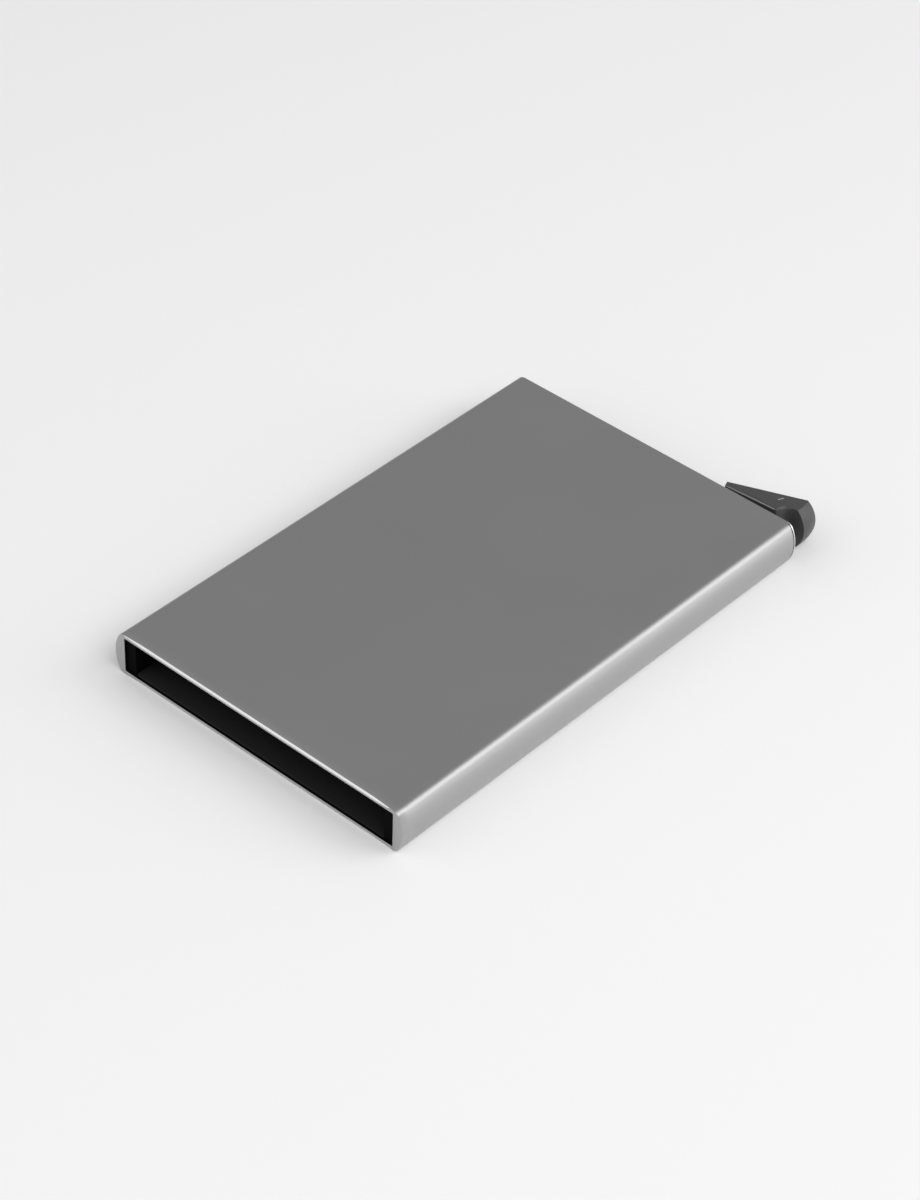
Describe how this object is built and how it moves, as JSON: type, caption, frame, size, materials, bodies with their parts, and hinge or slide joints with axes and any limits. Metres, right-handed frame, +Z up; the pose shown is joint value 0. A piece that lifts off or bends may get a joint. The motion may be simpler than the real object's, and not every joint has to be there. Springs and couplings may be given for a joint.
{
  "type": "card case",
  "caption": "Slim aluminium card case: a bulge-sided sleeve open at one end, with a corner lever at the other that swings a stepped arm and fans the cards out.",
  "frame": {"origin": "centre of the sleeve's flat underside", "axes": "+X across the cards towards the lever's corner, +Y from the mouth to the lever end, +Z up through the flat faces"},
  "size_m": [0.063, 0.1052, 0.0082],
  "materials": {
    "anodised_sleeve": "satin anodised",
    "insert_nylon": "matte",
    "lever_nylon": "fine texture",
    "pin_steel": "ground",
    "rail_nylon": "matte",
    "felt": "pressed felt",
    "lining_flock": "flocked"
  },
  "bodies": {
    "case": {"housing": "anodised_sleeve", "end_insert": "insert_nylon", "pivot_pin": "pin_steel", "left_guide_rail": "rail_nylon", "right_guide_rail": "rail_nylon", "left_brake_pad": "felt", "right_brake_pad": "felt", "upper_lining": "lining_flock", "lower_lining": "lining_flock"},
    "lever": {"lever": "lever_nylon"}
  },
  "joints": [
    {"name": "lever_swing", "type": "hinge", "parent": "case", "child": "lever", "pos_m": [0.0215, 0.043, 0.0041], "axis": [0, 0, 1], "range_deg": [0, 28]}
  ]
}
